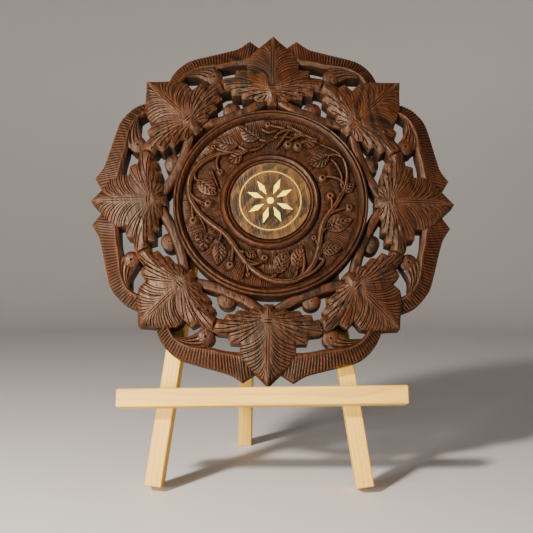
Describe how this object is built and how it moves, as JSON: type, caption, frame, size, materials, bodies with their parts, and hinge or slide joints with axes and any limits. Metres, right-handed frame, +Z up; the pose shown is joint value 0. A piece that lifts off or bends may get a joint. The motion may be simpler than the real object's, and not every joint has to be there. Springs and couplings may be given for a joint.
{
  "type": "carved wall plaque",
  "caption": "Round pierced and deep-carved wooden wall plaque with leaves, scrolling border and brass flower inlay, resting on a small wooden display easel.",
  "frame": {"origin": "on the floor under the middle of the bounding box", "axes": "+Z up, +X to the right seen from the front, the plaque's carved face looks towards -Y and up, its board leaning back 13.8 degrees; +Y towards the rear leg"},
  "size_m": [0.3032, 0.2054, 0.3818],
  "materials": {
    "dark_carved_wood": "dark reddish-brown carved hardwood with a waxed sheen",
    "inlay_brass": "polished pale yellow brass let in flush",
    "pale_easel_wood": "bare pale pine, sanded"
  },
  "bodies": {
    "root": {"carved_plaque": "dark_carved_wood", "brass_petal_1": "inlay_brass", "brass_petal_2": "inlay_brass", "brass_petal_3": "inlay_brass", "brass_petal_4": "inlay_brass", "brass_petal_5": "inlay_brass", "brass_petal_6": "inlay_brass", "brass_petal_7": "inlay_brass", "brass_petal_8": "inlay_brass", "brass_centre_dot": "inlay_brass", "brass_ring": "inlay_brass", "easel_left_leg": "pale_easel_wood", "easel_right_leg": "pale_easel_wood", "easel_ledge_bar": "pale_easel_wood", "easel_top_cross_bar": "pale_easel_wood", "easel_rear_leg": "pale_easel_wood"}
  },
  "joints": []
}
